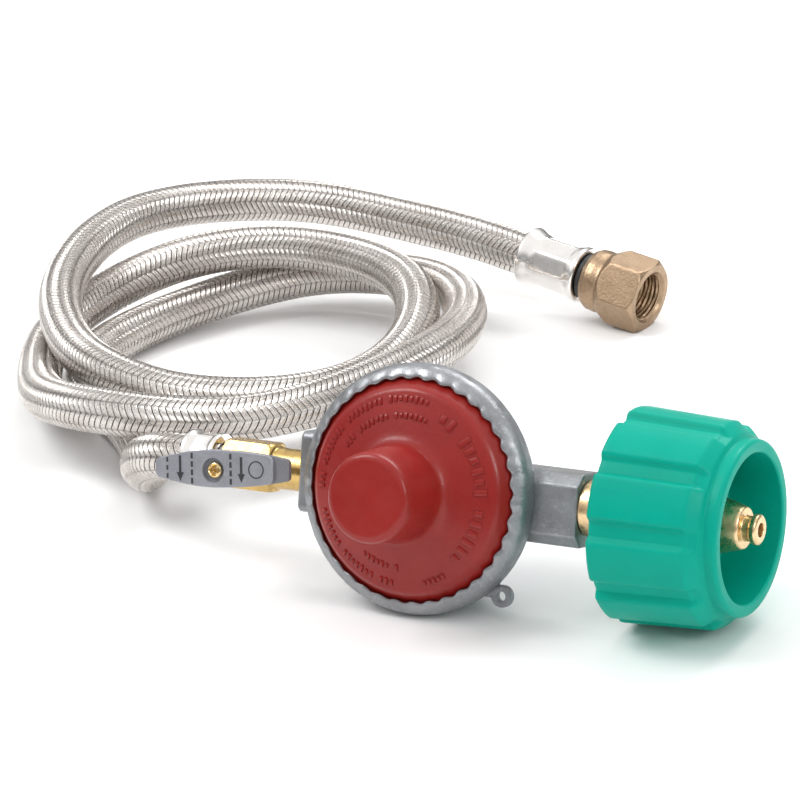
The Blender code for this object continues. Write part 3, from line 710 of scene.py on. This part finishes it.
def make_hose():
    frames = hose_frames(ROUTE_SAMPLES)
    core = make_core(frames, dark_rubber("hose_core_dark", (0.035, 0.032, 0.03), 0.55))
    steel = braid_steel("braid_wire")
    left = make_braid("hose_braid_left", -1, frames, steel, "regulator")
    right = make_braid("hose_braid_right", 1, frames, steel, "regulator")
    chrome = bright_steel("far_ferrule_steel", FAR_AXIS)
    profile = [(8.8, 23.0), (9.45, 22.6), (9.6, 21.6), (9.2, 20.2), (8.75, 18.4), (8.65, 7.0), (9.2, 4.6),
               (10.2, 2.4), (10.45, 1.2), (10.0, 0.35), (8.6, 0.3), (7.7, 0.8), (6.9, 1.4), (6.7, 20.8),
               (5.2, 20.8), (5.2, 23.0)]
    ferrule = turned("far_ferrule", profile, chrome, "regulator", FAR_PLACE, 160, 0.35,
                     crimped(5.2, 20.0, radians(22.5)), ("far_end_ferrule",), 30.0, 0.8)
    stem = turned("far_stem", [(2.6, 41.0), (3.0, 41.2), (7.0, 36.8), (7.0, 31.6), (4.9, 31.4), (4.9, 20.5),
                               (6.4, 20.5), (6.4, 0.4), (2.6, 0.4)], brass("far_stem_brass", FAR_AXIS),
                  "regulator", FAR_PLACE, 96, 0.25, None, ("far_end_stem",))
    # The spacer's black is painted shade: it stands in for the shaded gap between the ferrule and the nut.
    spacer = turned("spacer", [(7.9, 25.1), (7.9, 23.3), (5.2, 23.3), (5.2, 25.1)],
                    dark_rubber("spacer_painted_shade"), "regulator", FAR_PLACE, 96, 0.4, None, ("spacer_ring",))
    nut = make_flare_nut()


NUT_BACK, NUT_FRONT, NUT_AF = 25.5, 48.6, 22.4
FLARE_THREAD_R, FLARE_PITCH, FLARE_DEPTH = 7.75, 1.41, 0.42


def make_flare_nut():
    outer = [(8.4, NUT_BACK), (9.6, NUT_BACK + 0.5), (10.5, NUT_BACK + 2.2), (10.65, NUT_BACK + 4.6),
             (10.5, NUT_BACK + 6.4), (10.55, NUT_BACK + 7.2), (11.3, NUT_BACK + 8.3), (12.8, NUT_BACK + 10.2),
             (13.6, NUT_BACK + 12.0), (13.6, NUT_FRONT - 2.6), (12.9, NUT_FRONT - 1.4), (11.2, NUT_FRONT)]
    inner = [(9.0, NUT_FRONT), (8.2, NUT_FRONT - 0.9), (7.9, NUT_FRONT - 1.6), (7.9, 31.4), (5.4, 31.4),
             (5.4, NUT_BACK)]

    def shape(radius, height, angle):
        hexagon = polygon_limit(radius, angle, NUT_AF / 2, 6, 0.0, 110.0)
        phase = height / FLARE_PITCH - angle / (2 * pi)
        tooth = 1 - np.abs(2 * (phase - np.floor(phase)) - 1)
        threaded = (np.abs(radius - 7.9) < 0.2) & (height > 31.8) & (height < NUT_FRONT - 1.2)
        made = np.where(radius > 8.3, hexagon, radius)
        return np.where(threaded, FLARE_THREAD_R + FLARE_DEPTH * (tooth - 0.5), made), height

    profile = list(reversed(outer)) + list(reversed(inner))
    metal = forged_brass("flare_nut_brass", FAR_AXIS)
    return turned("flare_nut_hex", profile, metal, "swivel_nut", FAR_PLACE, 240, 0.15, shape,
                  ("flare_nut",), 38.0, 0.3)


# --- regulator ------------------------------------------------------------------------------------
LIP_TEETH = 38
LIP_SHARE = 0.38                       # how far the notches go towards NOTCH
TAB = [(36.8, -3.8), (36.8, -2.3), (36.5, -0.9), (35.7, 0.4), (34.7, 1.15), (33.7, 1.8), (32.95, 2.15),
       (32.5, 2.0), (32.45, 1.6), (33.3, 1.0), (33.9, -0.6), (34.4, -3.8)]
NOTCH = [(36.8, -3.8), (36.8, -2.4), (36.45, -1.2), (35.8, -0.25), (35.15, 0.25), (34.6, 0.5), (34.2, 0.45),
         (34.0, 0.25), (33.95, 0.0), (33.95, -0.4), (34.0, -0.9), (34.4, -3.8)]


def make_body():
    zinc = zinc_casting("body_zinc")
    bowl = [(25.4, -17.8), (28.5, -9.0), (28.5, -4.6), (35.0, -4.6), (34.6, -3.4), (36.8, -3.4), (36.8, -5.5),
            (35.9, -7.6), (33.8, -9.6), (31.8, -14.0), (27.8, -22.0), (25.4, -26.0), (24.0, -27.0),
            (AXLE, -27.0), (AXLE, -21.5), (23.6, -21.5)]
    turned("body_bowl", bowl, zinc, "regulator", BONNET_PLACE, 192, 0.5, None, ("body_casting",))
    tab, notch = np.array(TAB), np.array(NOTCH)

    def crimp(_radius, _height, angle):
        depth = LIP_SHARE * (0.5 + 0.5 * np.cos(LIP_TEETH * angle)) ** 1.3
        return (tab[:, 0][None, :] * (1 - depth) + notch[:, 0][None, :] * depth,
                tab[:, 1][None, :] * (1 - depth) + notch[:, 1][None, :] * depth)

    turned("crimped_lip", TAB, zinc, "regulator", BONNET_PLACE, LIP_TEETH * 10, 0.0, crimp, (),
           60.0)
    block("inlet_boss", (26.0, -22.6, -12.1), (50.4, -5.2, 9.3), 3.4, 0.7, zinc, "regulator", ())
    block("outlet_boss", (-41.0, -22.0, -11.8), (-26.0, -5.2, 12.4), 1.4, 1.1, zinc, "regulator", ())
    lug_place = place(at(27.9, -6.4, -28.4), OUT, ACROSS)
    turned("wire_lug", [(3.3, 1.2), (3.3, -1.2), (1.4, -1.2), (1.4, 1.2)], zinc, "regulator", lug_place,
           48, 0.4, None, ())
    block("wire_lug_root", (20.5, -7.4, -29.2), (26.6, -5.4, -22.5), 0.0, 0.5, zinc, "regulator", ())


BONNET = [(AXLE, 28.8), (11.2, 28.8), (12.5, 28.3), (13.15, 27.0), (13.4, 24.0), (13.9, 12.0), (14.3, 10.0),
          (15.6, 8.6), (17.2, 7.95), (29.3, 4.85), (30.3, 3.9), (31.6, 1.6), (32.8, -0.2), (34.8, -0.6),
          (34.8, -3.0), (31.6, -3.0), (31.0, 0.6), (29.0, 2.2), (15.2, 6.3), (12.7, 8.8), (12.0, 12.0),
          (11.5, 26.4), (AXLE, 26.8)]
CONE_LOW, CONE_HIGH = (29.3, 4.85), (17.2, 7.95)
# Raised marks on the cone: (radius, first degree, last degree, height, width, spacing, marks in a group)
MARK_ROWS = [(27.0, -12.0, 96.0, 2.2, 1.0, 1.7, 8), (27.0, 108.0, 178.0, 2.2, 1.0, 1.75, 7),
             (22.2, -16.0, 60.0, 2.0, 0.95, 1.6, 7), (22.2, 150.0, 182.0, 2.0, 0.95, 1.6, 6),
             (25.0, -134.0, -27.0, 4.0, 1.8, 3.1, 6), (27.0, 198.0, 216.0, 2.0, 0.95, 1.6, 5)]


def make_bonnet():
    red = red_paint("bonnet_red")
    turned("bonnet_shell", BONNET, red, "regulator", BONNET_PLACE, 192, 0.8, None, ("bonnet",),
           30.0)
    slope = Vector((CONE_LOW[0] - CONE_HIGH[0], CONE_LOW[1] - CONE_HIGH[1])).normalized()
    points, faces = [], []
    for radius, first, last, tall, wide, spacing, group in MARK_ROWS:
        step = np.degrees(spacing / radius)
        spots = np.arange(first, last, step)
        for index, degrees in enumerate(spots):
            if index % (group + 1) == group:
                continue
            angle = radians(degrees)
            share = 0.62 + 0.38 * ((index * 7) % 5) / 4
            add_mark(points, faces, radius, angle, tall * share, wide, slope)
    world = np.array(BONNET_PLACE)
    points = np.array(points) * MM @ world[:3, :3].T + world[:3, 3]
    add_piece("bonnet_marks", points, faces, red, "regulator", (), 40.0)


def add_mark(points, faces, radius, angle, tall, wide, slope):
    """One raised bar on the cone, with sloping sides."""
    around = np.array((-sin(angle), cos(angle), 0.0))
    outward = np.array((cos(angle) * slope.x, sin(angle) * slope.x, slope.y))
    rise = np.array((-cos(angle) * slope.y, -sin(angle) * slope.y, slope.x))
    level = CONE_HIGH[1] + (radius - CONE_HIGH[0]) * slope.y / slope.x
    centre = np.array((radius * cos(angle), radius * sin(angle), level))
    base = len(points)
    for lift, share in ((-0.3, 1.0), (0.32, 0.94), (0.46, 0.72)):
        for along, across in ((-1, -1), (1, -1), (1, 1), (-1, 1)):
            points.append(centre + outward * along * tall / 2 * (share if share < 0.9 else 1.0)
                          + around * across * wide / 2 * share + rise * lift)
    for layer in (0, 4):
        for side in range(4):
            following = (side + 1) % 4
            faces.append((base + layer + side, base + layer + following, base + layer + 4 + following,
                          base + layer + 4 + side))
    faces.append(tuple(base + 8 + side for side in range(4)))
    faces.append(tuple(base + side for side in (3, 2, 1, 0)))


# --- inlet ----------------------------------------------------------------------------------------
def make_nipple():
    profile = [(2.0, 104.3), (3.7, 104.3), (4.4, 103.8), (4.4, 102.2), (3.7, 101.9), (3.7, 99.7), (5.9, 99.6),
               (6.3, 99.0), (7.1, 96.0), (8.0, 92.5), (8.8, 89.0), (9.2, 85.5), (9.2, 83.0), (8.2, 81.8),
               (8.2, 72.7), (7.6, 72.7), (7.6, 70.9), (8.2, 70.9), (8.2, 50.7), (6.0, 50.7), (6.0, 35.5),
               (3.0, 35.5), (3.0, 66.0), (4.6, 66.0), (4.6, 95.0), (2.0, 97.0)]
    metal = brass("probe_brass", SIDE, (0.86, 0.63, 0.36), 0.3)
    turned("probe", profile, metal, "regulator", AXIS_PLACE, 128, 0.35, None, ("inlet_nipple",))


WHEEL_BACK, WHEEL_SHOULDER, WHEEL_FRONT = 64.0, 94.0, 101.6
RIB_R, GROOVE_R = 31.2, 29.3
WHEEL_RIBS = 10
WHEEL_THREAD_R, WHEEL_THREAD_PITCH, WHEEL_THREAD_DEPTH = 17.4, 4.6, 0.9
RIB_PHASE = radians(-3.0)             # middle of the groove nearest the bonnet's side, from n towards v


def rib_wave(angle):
    """1 on the ribs and 0 in the grooves, with rounded shoulders."""
    pitch = 2 * pi / WHEEL_RIBS
    off = np.abs(((pi / 2 - angle - RIB_PHASE) / pitch + 0.5) % 1.0 - 0.5)
    share = np.clip((off - 0.10) / 0.10, 0.0, 1.0)
    return share * share * (3 - 2 * share)


def make_handwheel():
    outer = [(24.5, WHEEL_BACK), (30.5, WHEEL_BACK), (31.15, WHEEL_BACK + 0.7), (31.2, WHEEL_BACK + 2.0),
             (30.6, 78.0), (29.9, WHEEL_SHOULDER - 0.6), (29.3, WHEEL_SHOULDER + 0.2), (26.8, 96.8),
             (25.7, 97.4), (25.3, 97.8), (25.5, 100.6), (25.1, 101.3), (24.4, WHEEL_FRONT)]
    inner = [(22.2, WHEEL_FRONT), (21.7, 101.2), (21.6, 84.5), (18.6, 83.4), (WHEEL_THREAD_R, 82.6),
             (WHEEL_THREAD_R, 68.4), (12.1, 68.4), (12.1, WHEEL_BACK)]

    def shape(radius, height, angle):
        wave = rib_wave(angle)
        fade = np.clip((97.2 - height) / 3.0, 0.0, 1.0)
        outside = np.clip((radius - 24.6) / 3.0, 0, 1)
        made = radius * (1.0 - (1.0 - wave) * fade * (RIB_R - GROOVE_R) / RIB_R * outside)
        phase = height / WHEEL_THREAD_PITCH - angle / (2 * pi)
        ridge = np.clip(2.2 * (0.5 - np.abs(2 * (phase - np.floor(phase)) - 1)) + 0.5, 0.0, 1.0)
        threaded = (np.abs(radius - WHEEL_THREAD_R) < 0.3) & (height > 69.0) & (height < 82.8)
        return np.where(threaded, WHEEL_THREAD_R + WHEEL_THREAD_DEPTH * (ridge - 0.5), made), height

    profile = list(reversed(outer + inner))
    turned("green_wheel", profile, green_plastic("wheel_green"), "handwheel", AXIS_PLACE, 320, 0.45,
           shape, ("handwheel_nut",), 40.0, 0.6)


# --- shut-off valve -------------------------------------------------------------------------------
def make_valve():
    metal = brass("valve_brass", SIDE, (0.66, 0.45, 0.17), 0.26)
    profile = [(5.1, -69.0), (6.9, -69.0), (7.9, -68.2), (8.6, -67.0), (8.6, -54.4), (7.9, -53.0),
               (7.2, -52.3), (6.4, -52.0), (6.2, -49.0), (6.2, -41.3), (5.0, -41.3), (5.0, -36.0),
               (3.0, -36.0), (3.0, -56.5), (5.1, -56.5)]

    def shape(radius, height, angle):
        hexagon = polygon_limit(radius, angle, 7.2, 6, 0.0, 90.0)
        return np.where(height < -52.15, np.where(radius > 6.0, hexagon, radius), radius), height

    turned("valve_hex", profile, metal, "regulator", AXIS_PLACE, 192, 0.2, shape, ("valve_body",),
           38.0, 0.4)
    turned("stem_boss", [(4.6, 2.0), (4.6, -8.0), (2.5, -8.0), (2.5, 2.0)], metal, "regulator",
           place(at(PIVOT_X, 0.0, AXIS_V), OUT, ACROSS), 96, 0.5, None, ())
    profile = [(8.2, -71.3), (8.4, -72.4), (7.9, -73.6), (7.9, -79.0), (8.7, -80.8), (8.6, -82.0),
               (6.8, -82.1), (6.7, -73.1), (5.3, -73.1), (5.3, -71.3)]
    chrome = bright_steel("valve_ferrule_steel", SIDE)
    turned("valve_ferrule", profile, chrome, "regulator", AXIS_PLACE, 128, 0.3,
           crimped(-80.2, -73.0, 0.0), ("valve_end_ferrule",), 30.0, 0.8)


LEVER_REST = radians(5.0)
LEVER_LOW, LEVER_HIGH = 6.2, 9.0
LEVER_HALF = [(20.2, 3.2), (18.6, 4.3), (15.0, 4.75), (9.2, 5.3), (0.0, 5.65), (-5.0, 5.4), (-9.6, 4.8),
              (-15.3, 3.7), (-18.8, 2.9), (-19.8, 1.9)]
TAB_HALF = [(25.1, 2.5), (24.4, 3.3), (19.8, 4.1), (15.0, 4.7)]


def mirrored(half):
    """A closed outline from its upper half."""
    return half + [(along, -across) for along, across in reversed(half)]


def make_lever():
    grey = lever_metal("lever_grey")
    dark = lever_metal("lever_marks_grey", (0.055, 0.055, 0.06), 0.5)
    middle = at(PIVOT_X, 0.0, AXIS_V + 0.5)
    lean = Matrix.Rotation(LEVER_REST, 4, OUT)
    along = lean @ SIDE
    lever_place = Matrix((along, OUT.cross(along), OUT)).transposed().to_4x4()
    lever_place.translation = middle
    holes = ((0.0, -0.5, 3.7, 7.3), (0.0, -0.5, 1.4, 4.0))
    plate("lever_grip", rounded(mirrored(LEVER_HALF), 1.6, True, 4), LEVER_LOW, LEVER_HIGH, 0.45, grey,
          "lever", lever_place, ("lever_handle",), holes)
    plate("lever_tab", rounded(mirrored(TAB_HALF), 0.9, True, 3), LEVER_LOW + 0.1, LEVER_HIGH - 1.1, 0.35,
          lever_metal("lever_tab_grey", (0.22, 0.22, 0.235), 0.5), "lever", lever_place, ())
    top = LEVER_HIGH
    arrow = [(-0.45, 4.0), (0.45, 4.0), (0.45, -1.4), (1.35, -1.4), (0.0, -4.3), (-1.35, -1.4), (-0.45, -1.4)]
    bar = [(-0.45, 1.0), (0.45, 1.0), (0.45, -1.0), (-0.45, -1.0)]
    spots = [("arrow_left", arrow, -11.2, 0.0, 0.92), ("arrow_right", arrow, 9.6, 0.0, 0.92)]
    for index, across in enumerate((3.9, 1.3, -1.3, -3.9)):
        spots.append((f"bar_left_{index}", bar, -7.2, across * 0.95, 0.85))
        spots.append((f"bar_right_{index}", bar, 6.0, across * 0.95, 0.85))
    for index, across in enumerate((2.4, 0.0, -2.4)):
        spots.append((f"bar_end_{index}", bar, -15.6, across, 0.7))
    for name, outline, x, y, scale in spots:
        moved = [(x + scale * a, y + scale * b) for a, b in outline]
        plate("lever_" + name, moved, top - 0.1, top + 0.07, 0.05, dark, "lever", lever_place)
    ring_place = lever_place @ Matrix.Translation((14.6 * MM, 0.0, 0.0))
    profile = [(2.6, top + 0.07), (2.6, top - 0.1), (2.25, top - 0.1), (2.25, top + 0.07)]
    turned("lever_ring_mark", profile, dark, "lever", ring_place, 64, 0.0)
    make_screw(place(at(PIVOT_X, 0.0, AXIS_V), OUT, ACROSS))


def make_screw(screw_place):
    """Cross-recess screw head in the lever's counterbore."""
    profile = [(AXLE, 8.75), (1.2, 8.7), (2.0, 8.5), (2.45, 8.1), (2.5, 7.6), (1.0, 7.55), (1.0, 1.4),
               (AXLE, 1.4)]

    def shape(radius, height, angle):
        head = height > 8.2
        arms = np.maximum(np.abs(np.cos(2 * angle)) - 0.35, 0.0) / 0.65
        sunk = np.clip(arms * 2.2, 0, 1) * np.clip((1.75 - radius) / 0.5, 0, 1)
        return radius, np.where(head, height - 0.9 * sunk, height)

    metal = brass("screw_brass", OUT, (0.86, 0.66, 0.34), 0.18)
    turned("lever_screw_head", profile, metal, "lever", screw_place, 96, 0.2, shape, ("lever_screw",),
           40.0, 0.25)


# --- the rest of the CAD nodes --------------------------------------------------------------------
def finish_hidden_parts():
    """Procedural materials for the CAD nodes that stay as they are, most of them inside."""
    steel, rubber, nylon = plain_steel("inner_steel"), dark_rubber("inner_rubber"), dark_rubber(
        "inner_nylon", (0.03, 0.03, 0.032), 0.42)
    inner_brass = brass("inner_brass", SIDE)
    chosen = {steel: ("diaphragm_plate", "main_spring", "internal_lever", "lever_pin", "plunger_spring",
                      "retaining_ring", "valve_ball", "valve_stem", "valve_end_stem"),
              rubber: ("diaphragm", "seat_disc"),
              nylon: ("thermal_bush", "seat_ring_inner", "seat_ring_outer"),
              inner_brass: ("seat_holder", "orifice", "excess_flow_plunger")}
    for material, names in chosen.items():
        for name in names:
            node = frame["nodes"][name]
            node.data.materials.clear()
            node.data.materials.append(material)


make_camera()
make_stage()
make_hose()
make_body()
make_bonnet()
make_nipple()
make_handwheel()
make_valve()
make_lever()
finish_hidden_parts()
